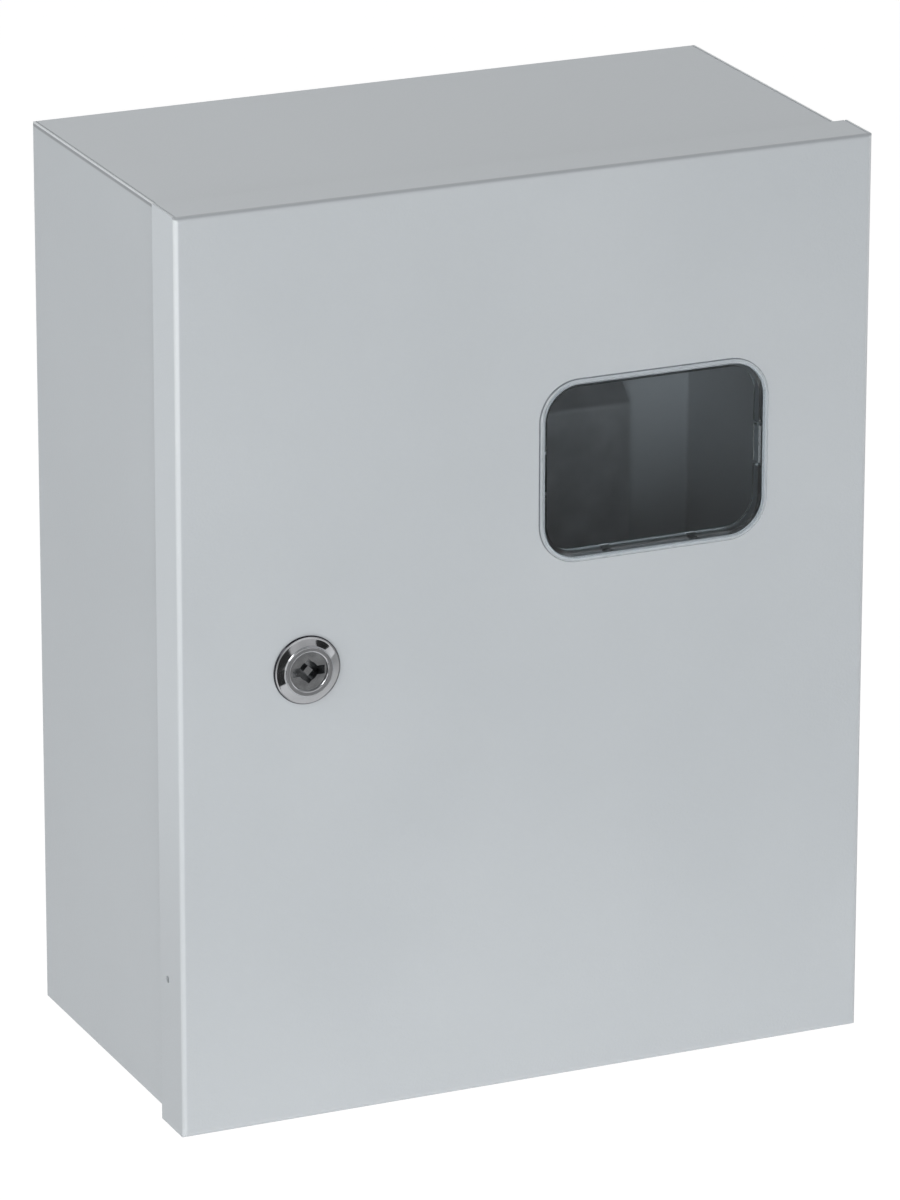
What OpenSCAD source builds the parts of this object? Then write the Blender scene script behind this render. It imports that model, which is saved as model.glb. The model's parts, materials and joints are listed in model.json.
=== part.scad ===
// Wall enclosure of folded sheet steel with a hinged door, a reading window and a key lock.
// The origin is the centre of the four wall holes on the back face. +X is to the right
// as one faces the door, +Y runs into the wall and +Z is up, so the door looks along -Y.

/* [Cabinet] */
// Width of the body
body_w = 304; // [260:2:420]
// Height of the body
body_h = 390; // [330:2:560]
// Depth from the wall to the front of the door
total_depth = 165; // [130:5:250]
// Thickness of the sheet steel of body and door
sheet = 1.2; // [1:0.1:1.5]
// Inner radius of the sheet's bends
bend_inner_r = 0.8; // [0.5:0.1:1.5]
// Width of the gutter between the body's side and the sealing lip
gutter_w = 20; // [19:0.5:28]
// Distance from the front of the door to the front edge of the sealing lip
lip_setback = 12; // [10:0.5:13]

/* [Door] */
// Depth of the door's four flanges
door_flange = 24; // [22:0.5:26]
// How far the door stands out past the body at each side
overhang_side = 3; // [2:0.1:6]
// How far the door stands out past the top of the body
overhang_top = 2; // [1.8:0.1:6]
// How far the door stands out past the bottom of the body
overhang_bottom = 3; // [2:0.1:8]
// Gap between the rear edge of the flanges and the body's shoulder
shoulder_gap = 2.2; // [2:0.1:4]
// Width of the foam seal inside the door
seal_w = 10; // [6:0.5:12]
// Diameter of the seal wire hole in the lock side flange
wire_hole_d = 3; // [2:0.5:4]
// Height of the seal wire hole above the bottom of the door
wire_hole_rise = 65; // [40:1:90]
// Distance from the front of the door to the seal wire hole
wire_hole_setback = 16; // [14:0.5:18]

/* [Window] */
// Width of the window moulding
window_w = 104; // [80:1:120]
// Height of the window moulding
window_h = 79; // [60:1:100]
// Corner radius of the window moulding
window_r = 17.5; // [12:0.5:22]
// Distance from the hinge side of the door to the window moulding
window_side_inset = 46.5; // [44:0.5:60]
// Distance from the top of the door to the window moulding
window_top_inset = 88.5; // [60:0.5:100]
// How far the rim of the moulding covers the edge of the cut-out
window_rim = 2; // [1.6:0.1:4]

/* [Lock] */
// Distance from the lock side of the door to the axis of the lock
lock_inset = 56; // [50:1:66]
// Diameter of the chromed bezel
bezel_d = 29.4; // [28:0.2:32]
// Diameter of the threaded barrel
barrel_d = 22; // [20:0.5:23]
// Distance across the two flats that keep the barrel from turning in the door
barrel_flats = 19.6; // [18.5:0.1:20]
// Diameter of the turning core at the front
core_d = 16.3; // [15:0.1:17]
// How far the tip of the cam reaches behind the gutter
cam_reach = 10; // [6:0.5:14]

/* [Hinges] */
// Distance from each end of the door to the middle of its hinge
hinge_end_inset = 60; // [45:1:90]
// Distance from the hinge side of the door to the hinge axis
hinge_side_inset = 5; // [4.5:0.1:6]
// Distance from the front of the door to the hinge axis
hinge_setback = 18; // [17:0.5:19]
// Diameter of the hinge pin
pin_d = 4; // [3:0.1:4.4]
// Half the height of a hinge
hinge_half_h = 15; // [14:0.5:20]

/* [Wall and mounting plate] */
// Diameter of the wall holes
wall_hole_d = 9; // [6:0.5:12]
// Distance from the side of the body to a wall hole
wall_hole_side_inset = 18; // [14:1:24]
// Distance from the top or bottom of the body to a wall hole
wall_hole_end_inset = 19; // [12:1:19]
// Gap between the side of the body and the mounting plate
plate_side_gap = 37; // [28:1:50]
// Distance from the bottom of the body to the mounting plate
plate_bottom_gap = 21; // [10:1:30]
// Height of the raised part of the mounting plate
plate_h = 180; // [160:2:200]
// Space behind the raised part of the mounting plate
plate_offset = 15; // [10:0.5:20]
// Thickness of the mounting plate
plate_t = 1.5; // [1:0.1:2.5]
// Distance from each side of the mounting plate to the end of the device rail
rail_end_gap = 15; // [5:1:30]
// Number of terminals in each terminal bar
terminals = 8; // [4:1:10]
// Gap between the two terminal bars
bar_gap = 16; // [8:1:30]

/* [Cable entries] */
// Number of grommets in the bottom
grommets = 3; // [1:1:3]
// Distance between grommets
grommet_pitch = 70; // [45:1:75]
// Distance from the wall to the middle of the grommets
grommet_wall_gap = 69; // [45:1:90]
// Diameter of the hole in the sheet for a grommet
grommet_hole_d = 28.4; // [20:0.2:40]
// Diameter of the cable that a grommet is open for
grommet_bore_d = 16; // [8:0.5:20]

/* [Hidden] */
$fn = 48;

fit_gap = 0.05;         // running clearance of a pin or core in its bore, on the radius
clear_gap = 0.3;        // clearance between parts that only pass each other
screw_play = 0.25;      // clearance of a screw in the mounting plate, on the radius
bend_r = bend_inner_r + sheet;
paint = "#bcc1c4";
zinc = "#c9ccd0";

// Where the main planes lie.
door_w = body_w + 2 * overhang_side;
door_h = body_h + overhang_top + overhang_bottom;
door_mid_z = (overhang_top - overhang_bottom) / 2;
door_top_z = body_h / 2 + overhang_top;
door_bottom_z = -body_h / 2 - overhang_bottom;
front_y = -total_depth;
door_back_y = front_y + sheet;
shoulder_y = front_y + door_flange + shoulder_gap;
body_depth = -shoulder_y;
lip_front_y = front_y + lip_setback;
lip_half_w = body_w / 2 - gutter_w;
lip_half_h = body_h / 2 - gutter_w;
floor_y = -sheet;       // inner face of the body's back

// A 2D outline in X and Z, made solid from y0 to y1.
module along_y(y0, y1) { translate([0, y1, 0]) rotate([90, 0, 0]) linear_extrude(y1 - y0) children(); }

// A 2D outline in Y and Z, made solid from x0 to x1.
module along_x(x0, x1) { translate([x0, 0, 0]) rotate([90, 0, 90]) linear_extrude(x1 - x0) children(); }

// A 2D outline in X and Y, made solid from z0 to z1.
module along_z(z0, z1) { translate([0, 0, z0]) linear_extrude(z1 - z0) children(); }

// Round bars along each axis.
module rod_y(x, z, y0, y1, r) { translate([x, y0, z]) rotate([-90, 0, 0]) cylinder(r = r, h = y1 - y0); }
module rod_x(y, z, x0, x1, r) { translate([x0, y, z]) rotate([0, 90, 0]) cylinder(r = r, h = x1 - x0); }
module rod_z(x, y, z0, z1, r) { translate([x, y, z0]) cylinder(r = r, h = z1 - z0); }

// Sizes of the screws: radius of the shank, radius of the head and height of the head.
m3_screw = [1.5, 2.8, 2];
m4_screw = [2, 3.5, 2.4];
m5_screw = [2.5, 4.5, 2.8];
terminal_screw = [2.05, 2.9, 2.4];
cam_fixing_screw = [2.05, 4.2, 3];

// Sizes of the nuts: radius of the hole, width across the flats and height.
m3_nut = [1.5 + fit_gap, 5.5, 2.4];
m4_nut = [2 + fit_gap, 7, 3.2];
m5_nut = [2.5 + fit_gap, 8, 4];
m6_nut = [3 + fit_gap, 10, 5];

// Hexagon nut along Y, from y0 towards the wall, with its hole.
module nut_y(x, z, y0, size) {
    difference() {
        translate([x, y0, z]) rotate([-90, 0, 0]) cylinder(r = size[1] / sqrt(3), h = size[2], $fn = 6);
        rod_y(x, z, y0 - 1, y0 + size[2] + 1, size[0]);
    }
}

// Flat washer along Y.
module washer_y(x, z, y0, y1, r, hole_r) {
    difference() {
        rod_y(x, z, y0, y1, r);
        rod_y(x, z, y0 - 1, y1 + 1, hole_r);
    }
}

// Slotted screw along Y: the head faces -Y and its underside is at head_y, the shank ends at tip_y.
module screw_y(x, z, head_y, tip_y, size) {
    shank_r = size[0];
    head_r = size[1];
    head_h = size[2];
    slot_w = 1;
    slot_depth = head_h * 0.45;
    difference() {
        union() {
            rod_y(x, z, head_y - head_h, head_y, head_r);
            rod_y(x, z, head_y - 0.01, tip_y, shank_r);
        }
        translate([x - head_r - 1, head_y - head_h - 1, z - slot_w / 2])
            cube([2 * head_r + 2, slot_depth + 1, slot_w]);
    }
}

// Rectangle with four round corners, centred.
module round_rect(w, h, r) {
    difference() {
        square([w, h], center = true);
        for (sx = [-1, 1], sy = [-1, 1]) translate([sx * (w / 2 - r), sy * (h / 2 - r)]) difference() {
            translate([sx > 0 ? 0 : -r - 1, sy > 0 ? 0 : -r - 1]) square([r + 1, r + 1]);
            circle(r);
        }
    }
}

// Outline of a slot that is l long and w wide.
module long_slot(l, w) {
    square([l - w, w], center = true);
    for (s = [-1, 1]) translate([s * (l - w) / 2, 0]) circle(w / 2);
}

// Section of a bent sheet pan: a rectangle on y = 0 to d whose two corners at y = 0 are round.
module bent_section(w, d, r) {
    difference() {
        translate([-w / 2, 0]) square([w, d]);
        for (s = [-1, 1]) translate([s * (w / 2 - r), r]) difference() {
            translate([s > 0 ? 0 : -r - 1, -r - 1]) square([r + 1, r + 1]);
            circle(r);
        }
    }
}

// Block whose face at y = 0 is bounded by bends on all four sides.
module bent_block(w, h, d, r) {
    intersection() {
        along_z(-h / 2, h / 2) bent_section(w, d, r);
        along_x(-w / 2, w / 2) mirror([1, -1]) bent_section(h, d, r);
    }
}

// Sheet pan: a plate at y = 0 with four walls folded towards +Y. A shallow line along each
// corner, one sheet in from the side, is left where the edges of two walls are welded together.
module sheet_pan(w, h, d) {
    seam_w = 0.5;
    seam_depth = 0.35;
    difference() {
        bent_block(w, h, d, bend_r);
        translate([0, sheet, 0]) bent_block(w - 2 * sheet, h - 2 * sheet, d, bend_inner_r);
        for (sx = [-1, 1], sz = [-1, 1])
            translate([sx * (w / 2 - sheet) - seam_w / 2, bend_r, sz * h / 2 - seam_depth])
                cube([seam_w, d, 2 * seam_depth]);
    }
}

// Section of a block that widens in a bend of radius r up to y = d, and stays as wide over the rest.
module flared_section(w, d, r, rest) {
    translate([-w / 2, 0]) square([w, d + rest]);
    for (s = [-1, 1]) difference() {
        translate([s > 0 ? w / 2 - 1 : -w / 2 - r, d - r]) square([r + 1, r + rest]);
        translate([s * (w / 2 + r), d - r]) circle(r);
    }
}

// Block from y = 0 that widens on all four sides in a bend where it ends at y = d.
module flared_block(w, h, d, r, rest) {
    intersection() {
        along_z(-h / 2 - r, h / 2 + r) flared_section(w, d, r, rest);
        along_x(-w / 2 - r, w / 2 + r) mirror([1, -1]) flared_section(h, d, r, rest);
    }
}

// Strip of thickness t folded along the corner points of its middle line, with bends of radius r.
// Each edge of the outline runs at a distance off to the left of the middle line.
bend_steps = 6;
function heading(a, b) = (b - a) / norm(b - a);
function turn_at(path, i) = i == 0 || i == len(path) - 1 ? 0 :
    let (u = heading(path[i - 1], path[i]), v = heading(path[i], path[i + 1]))
    atan2(u[0] * v[1] - u[1] * v[0], u[0] * v[0] + u[1] * v[1]);
function turned_by(v, a) = [v[0] * cos(a) - v[1] * sin(a), v[0] * sin(a) + v[1] * cos(a)];
function strip_edge(path, r, off) = [for (i = [0:len(path) - 1]) each
    let (turn = turn_at(path, i), u = heading(path[max(i - 1, 0)], path[max(i, 1)]), left = [-u[1], u[0]])
    turn == 0 ? [path[i] + off * left] :
    let (centre = path[i] - u * r * tan(abs(turn) / 2) + sign(turn) * r * left)
    [for (k = [0:bend_steps]) centre + turned_by((off - sign(turn) * r) * left, turn * k / bend_steps)]];
module folded_strip(path, t, r) {
    right_edge = strip_edge(path, r, -t / 2);
    left_edge = strip_edge(path, r, t / 2);
    polygon(concat(right_edge, [for (i = [len(left_edge) - 1:-1:0]) left_edge[i]]));
}

// ---------------------------------------------------------------- cabinet

wall_hole_x = body_w / 2 - wall_hole_side_inset;
wall_hole_z = body_h / 2 - wall_hole_end_inset;
grommet_y = -grommet_wall_gap;
function grommet_x(i) = (i - (grommets - 1) / 2) * grommet_pitch;

// Folded pan: the back and four walls, with wall holes in the back and cable holes in the bottom.
module body_shell() {
    color(paint) difference() {
        mirror([0, 1, 0]) sheet_pan(body_w, body_h, body_depth);
        for (sx = [-1, 1], sz = [-1, 1])
            rod_y(sx * wall_hole_x, sz * wall_hole_z, -sheet - 1, 1, wall_hole_d / 2);
        for (i = [0:grommets - 1])
            rod_z(grommet_x(i), grommet_y, -body_h / 2 - 1, -body_h / 2 + sheet + 1, grommet_hole_d / 2);
    }
}

// Gutter welded inside the walls: a shoulder that faces the door and a lip that meets its seal.
module front_gutter() {
    lip_l = shoulder_y - lip_front_y;
    color(paint) difference() {
        union() {
            along_y(shoulder_y, shoulder_y + sheet)
                square([body_w - 2 * sheet, body_h - 2 * sheet], center = true);
            translate([0, lip_front_y, 0])
                flared_block(2 * lip_half_w, 2 * lip_half_h, lip_l, bend_inner_r, sheet);
        }
        translate([0, lip_front_y - 1, 0])
            flared_block(2 * (lip_half_w - sheet), 2 * (lip_half_h - sheet), lip_l + sheet + 1, bend_r, 1);
        for (z = [upper_hinge_z, lower_hinge_z], s = [-1, 1])
            rod_y(hinge_screw_x, z + s * hinge_screw_dz, shoulder_y - 1, shoulder_y + sheet + 1, hinge_hole_r);
    }
}

// Lug behind the small hole of the door's flange, so that a wire seal ties door and body.
module seal_wire_lug() {
    lug_w = 12;
    lug_x = -body_w / 2 + sheet / 2;
    foot_l = 9;
    foot_y = shoulder_y - sheet / 2;
    wire_z = door_bottom_z + wire_hole_rise;
    color(paint) difference() {
        along_z(wire_z - lug_w / 2, wire_z + lug_w / 2)
            folded_strip([[lug_x + foot_l, foot_y], [lug_x, foot_y], [lug_x, lip_front_y]], sheet, bend_r);
        rod_x(front_y + wire_hole_setback, wire_z, lug_x - sheet, lug_x + sheet, wire_hole_d / 2 + 0.25);
    }
}

// ---------------------------------------------------------------- mounting plate

tab_h = 22;
plate_w = body_w - 2 * plate_side_gap;
plate_bottom_z = -body_h / 2 + plate_bottom_gap;
raised_bottom_z = plate_bottom_z + tab_h + plate_offset;
raised_top_z = raised_bottom_z + plate_h;
plate_top_z = raised_top_z + plate_offset + tab_h;
plate_back_y = floor_y - plate_offset;
plate_front_y = plate_back_y - plate_t;
stud_d = 6;
stud_hole_d = 7;
stud_x = plate_w / 2 - 20;
stud_zs = [plate_bottom_z + tab_h / 2 - 2, plate_top_z - tab_h / 2 + 2];
washer_t = 1.6;
washer_r = 6.2;
stud_l = plate_t + washer_t + m6_nut[2] + 3;

rail_z = raised_bottom_z + 82;
rail_depth = 7.5;
rail_t = 1;
rail_l = plate_w - 2 * rail_end_gap;
rail_slot_w = 6.2;
rail_slot_l = 15;
rail_slot_pitch = 25;
rail_side_slots = floor((rail_l / 2 - rail_slot_l / 2 - 2) / rail_slot_pitch);
rail_screw_x = rail_side_slots * rail_slot_pitch;
bar_z = raised_bottom_z + 28;
bar_w = 6.5;
bar_h = 9;
terminal_pitch = 7.5;
clamp_bore_r = terminal_screw[0] + fit_gap;
bar_end = 12;
bar_l = terminals * terminal_pitch + 2 * bar_end;
bar_x = (bar_l + bar_gap) / 2;
foot_h = 15;
bar_bore_r = m4_screw[0] + 0.1;
bar_back_y = plate_front_y - foot_h;
bar_front_y = bar_back_y - bar_w;
bar_screw_x = bar_l / 2 - bar_end / 2;
bar_screw_xs = [for (side = [-1, 1], end = [-1, 1]) side * bar_x + end * bar_screw_x];
device_slot_w = 5.5;
device_slot_l = 30;
device_slot_x = 60;
device_slot_z = raised_top_z - 35;

// Hat shaped plate: a raised face for the devices and two tabs that lie on the back.
module mounting_plate() {
    mid_front = plate_back_y - plate_t / 2;
    mid_back = floor_y - plate_t / 2;
    bend = 1.5 + plate_t / 2;
    step = mid_back - mid_front;
    color(zinc) difference() {
        along_x(-plate_w / 2, plate_w / 2) folded_strip([
            [mid_back, plate_bottom_z], [mid_back, raised_bottom_z - step],
            [mid_front, raised_bottom_z], [mid_front, raised_top_z],
            [mid_back, raised_top_z + step], [mid_back, plate_top_z]], plate_t, bend);
        for (s = [-1, 1], z = stud_zs)
            rod_y(s * stud_x, z, floor_y - plate_t - 1, floor_y + 1, stud_hole_d / 2);
        for (s = [-1, 1])
            rod_y(s * rail_screw_x, rail_z, plate_front_y - 1, plate_back_y + 1, m5_screw[0] + screw_play);
        for (x = bar_screw_xs) rod_y(x, bar_z, plate_front_y - 1, plate_back_y + 1, m4_screw[0] + screw_play);
        for (s = [-1, 1]) translate([s * device_slot_x, 0, device_slot_z])
            along_y(plate_front_y - 1, plate_back_y + 1) long_slot(device_slot_l, device_slot_w);
    }
}

// Weld studs on the back that hold the plate's tabs.
module plate_studs() {
    color(zinc) for (s = [-1, 1], z = stud_zs) rod_y(s * stud_x, z, floor_y - stud_l, floor_y, stud_d / 2);
}

// Washers and nuts that clamp the tabs on the studs.
module plate_washers() {
    y = floor_y - plate_t;
    color(zinc) for (s = [-1, 1], z = stud_zs)
        washer_y(s * stud_x, z, y - washer_t, y, washer_r, stud_d / 2 + fit_gap);
}

module plate_nuts() {
    y = floor_y - plate_t - washer_t - m6_nut[2];
    color(zinc) for (s = [-1, 1], z = stud_zs) nut_y(s * stud_x, z, y, m6_nut);
}

// Top hat rail of 35 mm with a row of slots in its base.
module device_rail() {
    half_w = 17.5;
    half_base = 13;
    base = plate_front_y - rail_t / 2;
    top = plate_front_y - rail_depth + rail_t / 2;
    color(zinc) difference() {
        translate([0, 0, rail_z]) along_x(-rail_l / 2, rail_l / 2) folded_strip([
            [top, half_w], [top, half_base], [base, half_base],
            [base, -half_base], [top, -half_base], [top, -half_w]], rail_t, 1.1);
        for (i = [-rail_side_slots:rail_side_slots]) translate([i * rail_slot_pitch, 0, rail_z])
            along_y(plate_front_y - rail_t - 1, plate_front_y + 1) long_slot(rail_slot_l, rail_slot_w);
    }
}

// The rail's two screws, and their nuts behind the plate.
module rail_screws() {
    color(zinc) for (s = [-1, 1])
        screw_y(s * rail_screw_x, rail_z, plate_front_y - rail_t, plate_back_y + 6, m5_screw);
}

module rail_nuts() {
    color(zinc) for (s = [-1, 1]) nut_y(s * rail_screw_x, rail_z, plate_back_y, m5_nut);
}

// ---------------------------------------------------------------- terminal bars

function terminal_x(i) = (i - (terminals - 1) / 2) * terminal_pitch;

// Brass bar: wire holes run up through it, and a clamping screw enters each from the front.
module terminal_bar(x) {
    mid_y = (bar_back_y + bar_front_y) / 2;
    wire_bore_r = 2.3;
    difference() {
        translate([x - bar_l / 2, bar_front_y, bar_z - bar_h / 2]) cube([bar_l, bar_w, bar_h]);
        for (i = [0:terminals - 1]) {
            rod_z(x + terminal_x(i), mid_y, bar_z - bar_h / 2 - 1, bar_z + bar_h / 2 + 1, wire_bore_r);
            rod_y(x + terminal_x(i), bar_z, bar_front_y - 1, mid_y, clamp_bore_r);
        }
        for (s = [-1, 1]) rod_y(x + s * bar_screw_x, bar_z, bar_front_y - 1, bar_back_y + 1, bar_bore_r);
    }
}

// One clamping screw in each terminal, with its head just clear of the bar.
module terminal_screws(x) {
    for (i = [0:terminals - 1])
        screw_y(x + terminal_x(i), bar_z, bar_front_y - 0.6, bar_front_y + 1.5, terminal_screw);
}

// Insulating feet: a block with a wide base under each end of the bar.
module neutral_bar_feet() {
    base_h = 3;
    color("royalblue") for (s = [-1, 1]) difference() {
        translate([bar_x + s * bar_screw_x, 0, bar_z]) union() {
            along_y(bar_back_y, plate_front_y) square([11, 11], center = true);
            along_y(plate_front_y - base_h, plate_front_y) square([11, 19], center = true);
        }
        rod_y(bar_x + s * bar_screw_x, bar_z, bar_back_y - 1, plate_front_y + 1, bar_bore_r);
    }
}

// Metal spacers under the earth bar.
module earth_bar_feet() {
    color(zinc) for (s = [-1, 1])
        washer_y(-bar_x + s * bar_screw_x, bar_z, bar_back_y, plate_front_y, 4.5, bar_bore_r);
}

// The neutral bar lies right of the middle and the earth bar left of it.
module neutral_bar() { color("goldenrod") terminal_bar(bar_x); }
module neutral_bar_screws() { color(zinc) terminal_screws(bar_x); }
module earth_bar() { color("goldenrod") terminal_bar(-bar_x); }
module earth_bar_screws() { color(zinc) terminal_screws(-bar_x); }

// Screws through the bars, their feet and the plate, and their nuts behind it.
module bar_fixing_screws() {
    color(zinc) for (x = bar_screw_xs) screw_y(x, bar_z, bar_front_y, plate_back_y + 5, m4_screw);
}

module bar_fixing_nuts() {
    color(zinc) for (x = bar_screw_xs) nut_y(x, bar_z, plate_back_y, m4_nut);
}

// ---------------------------------------------------------------- earth studs and cable entries

earth_stud_l = 18;
earth_washer_t = 1.2;
earth_wall_gap = 66;
earth_rise = 35;
body_earth_y = -earth_wall_gap;
body_earth_z = -body_h / 2 + earth_rise;
body_earth_x = -body_w / 2 + sheet;

// Stud welded to the left wall, with its washer and nut.
module body_earth_stud() {
    color(zinc) rod_x(body_earth_y, body_earth_z, body_earth_x, body_earth_x + earth_stud_l, stud_d / 2);
}

module body_earth_washer() {
    color(zinc) difference() {
        rod_x(body_earth_y, body_earth_z, body_earth_x, body_earth_x + earth_washer_t, washer_r);
        rod_x(body_earth_y, body_earth_z, body_earth_x - 1, body_earth_x + earth_washer_t + 1,
            stud_d / 2 + fit_gap);
    }
}

module body_earth_nut() {
    nut_x = body_earth_x + earth_washer_t;
    color(zinc) difference() {
        translate([nut_x, body_earth_y, body_earth_z]) rotate([0, 90, 0])
            cylinder(r = m6_nut[1] / sqrt(3), h = m6_nut[2], $fn = 6);
        rod_x(body_earth_y, body_earth_z, nut_x - 1, nut_x + m6_nut[2] + 1, m6_nut[0]);
    }
}

door_earth_inset = 32;
door_earth_rise = 50;
door_earth_x = lip_half_w - door_earth_inset;
door_earth_z = door_bottom_z + door_earth_rise;
door_earth_l = 14;

// Stud welded to the inside of the door, with its washer and nut.
module door_earth_stud() {
    color(zinc) rod_y(door_earth_x, door_earth_z, door_back_y, door_back_y + door_earth_l, stud_d / 2);
}

module door_earth_washer() {
    color(zinc) washer_y(door_earth_x, door_earth_z, door_back_y, door_back_y + earth_washer_t, washer_r,
        stud_d / 2 + fit_gap);
}

module door_earth_nut() {
    color(zinc) nut_y(door_earth_x, door_earth_z, door_back_y + earth_washer_t, m6_nut);
}

// Rubber grommets: a groove takes the edge of the sheet and a cone closes round the cable.
module cable_grommets() {
    groove_r = grommet_hole_d / 2 - fit_gap;
    flange_r = groove_r + 4;
    bore_r = grommet_bore_d / 2;
    flange_t = 2;
    cone_h = 9;
    grip_h = 4;
    wall = 1.6;
    color("#2b2b2d") for (i = [0:grommets - 1]) translate([grommet_x(i), grommet_y, -body_h / 2])
        rotate_extrude() polygon([
            [groove_r - 3, -flange_t], [flange_r - 1, -flange_t], [flange_r, -flange_t + 1], [flange_r, 0],
            [groove_r, 0], [groove_r, sheet], [flange_r - 0.6, sheet], [flange_r - 0.6, sheet + 0.6],
            [groove_r - 0.6, sheet + flange_t], [bore_r + wall, sheet + cone_h],
            [bore_r + wall, sheet + cone_h + grip_h], [bore_r, sheet + cone_h + grip_h],
            [bore_r, sheet + cone_h], [groove_r - 3, sheet + 0.6]]);
}

// ---------------------------------------------------------------- hinges

hinge_x = door_w / 2 - hinge_side_inset;
hinge_y = front_y + hinge_setback;
knuckle_r = hinge_side_inset - sheet - clear_gap;
leaf_t = 1.5;
leaf_bend = 0.8 + leaf_t / 2;
frame_knuckle_half = 6;
hinge_foot_x0 = lip_half_w + 1.5 + leaf_t / 2;
hinge_foot_x1 = hinge_x - 7;
hinge_screw_x = (hinge_foot_x0 + hinge_foot_x1) / 2 + 0.4;
hinge_screw_dz = hinge_half_h - 4;
hinge_hole_r = m3_screw[0] + 0.1;
upper_hinge_z = door_top_z - hinge_end_inset;
lower_hinge_z = door_bottom_z + hinge_end_inset;

// Frame leaf: a foot on the shoulder and an arm that reaches forward round to the knuckle.
module frame_hinge(z) {
    foot_y = shoulder_y - leaf_t / 2;
    arm_y = hinge_y - knuckle_r + leaf_t / 2;
    color(zinc) translate([0, 0, z]) difference() {
        union() {
            along_z(-frame_knuckle_half, frame_knuckle_half) folded_strip([
                [hinge_foot_x1, foot_y], [hinge_foot_x0, foot_y], [hinge_foot_x0, arm_y], [hinge_x, arm_y]],
                leaf_t, leaf_bend);
            rod_z(hinge_x, hinge_y, -frame_knuckle_half, frame_knuckle_half, knuckle_r);
            translate([hinge_foot_x0 + leaf_bend, shoulder_y - leaf_t, -hinge_half_h])
                cube([hinge_foot_x1 - hinge_foot_x0 - leaf_bend, leaf_t, 2 * hinge_half_h]);
        }
        rod_z(hinge_x, hinge_y, -hinge_half_h, hinge_half_h, pin_d / 2);
        for (s = [-1, 1])
            rod_y(hinge_screw_x, s * hinge_screw_dz, shoulder_y - leaf_t - 1, shoulder_y + 1, hinge_hole_r);
    }
}

// Door leaf: a plate welded inside the flange, with a knuckle above and below the frame's.
module door_hinge(z) {
    flange_x = door_w / 2 - sheet;
    leaf_front = front_y + bend_r + 1.5;
    bore_r = pin_d / 2 + fit_gap;
    knuckle_gap = frame_knuckle_half + clear_gap;
    color(zinc) translate([0, 0, z]) difference() {
        union() {
            translate([flange_x - leaf_t, leaf_front, -hinge_half_h])
                cube([leaf_t, hinge_y + knuckle_r - leaf_front, 2 * hinge_half_h]);
            rod_z(hinge_x, hinge_y, -hinge_half_h, hinge_half_h, knuckle_r);
        }
        rod_z(hinge_x, hinge_y, -hinge_half_h - 1, hinge_half_h + 1, bore_r);
        translate([hinge_x - knuckle_r - 1, hinge_y - knuckle_r - clear_gap, -knuckle_gap])
            cube([2 * knuckle_r + 4, 2 * knuckle_r + 4, 2 * knuckle_gap]);
    }
}

// Pin with a flat head above the door's upper knuckle.
module hinge_pin(z) {
    head_z = hinge_half_h + clear_gap;
    head_h = 1.2;
    color(zinc) translate([0, 0, z]) union() {
        rod_z(hinge_x, hinge_y, -hinge_half_h - 1, head_z + head_h, pin_d / 2);
        rod_z(hinge_x, hinge_y, head_z, head_z + head_h, pin_d / 2 + 1);
    }
}

module upper_frame_hinge() { frame_hinge(upper_hinge_z); }
module lower_frame_hinge() { frame_hinge(lower_hinge_z); }
module upper_door_hinge() { door_hinge(upper_hinge_z); }
module lower_door_hinge() { door_hinge(lower_hinge_z); }
module upper_hinge_pin() { hinge_pin(upper_hinge_z); }
module lower_hinge_pin() { hinge_pin(lower_hinge_z); }

// Two screws hold each frame leaf on the gutter's shoulder, with their nuts behind it.
module hinge_screws() {
    tip_y = shoulder_y + sheet + 3.2;
    color(zinc) for (z = [upper_hinge_z, lower_hinge_z], s = [-1, 1])
        screw_y(hinge_screw_x, z + s * hinge_screw_dz, shoulder_y - leaf_t, tip_y, m3_screw);
}

module hinge_nuts() {
    color(zinc) for (z = [upper_hinge_z, lower_hinge_z], s = [-1, 1])
        nut_y(hinge_screw_x, z + s * hinge_screw_dz, shoulder_y + sheet, m3_nut);
}

// ---------------------------------------------------------------- door

window_x = door_w / 2 - window_side_inset - window_w / 2;
window_z = door_top_z - window_top_inset - window_h / 2;
cut_w = window_w - 2 * window_rim;
cut_h = window_h - 2 * window_rim;
cut_r = window_r - window_rim;
lock_x = -door_w / 2 + lock_inset;
lock_z = door_mid_z;
barrel_r = barrel_d / 2;

// Circle with two flats at the sides, at a half width from the middle.
module flatted_circle(r, half_width) {
    intersection() {
        circle(r);
        square([2 * half_width, 2 * r + 2], center = true);
    }
}

// Folded pan with the window cut-out, the flatted lock hole and the small hole for a seal wire.
module door_panel() {
    color(paint) difference() {
        translate([0, front_y, door_mid_z]) sheet_pan(door_w, door_h, door_flange);
        translate([window_x, 0, window_z])
            along_y(front_y - 1, door_back_y + 1) round_rect(cut_w, cut_h, cut_r);
        translate([lock_x, 0, lock_z]) along_y(front_y - 1, door_back_y + 1)
            flatted_circle(barrel_r + 0.15, barrel_flats / 2 + 0.15);
        rod_x(front_y + wire_hole_setback, door_bottom_z + wire_hole_rise,
            -door_w / 2 - 1, -door_w / 2 + sheet + 1, wire_hole_d / 2);
    }
}

// Foam strip laid in a closed loop where the lip meets the door.
module door_seal() {
    mid_w = 2 * lip_half_w - sheet;
    mid_h = 2 * lip_half_h - sheet;
    seal_r = 12;
    color("#3c3d40") along_y(door_back_y, lip_front_y - clear_gap) difference() {
        round_rect(mid_w + seal_w, mid_h + seal_w, seal_r + seal_w);
        round_rect(mid_w - seal_w, mid_h - seal_w, seal_r);
    }
}

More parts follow.
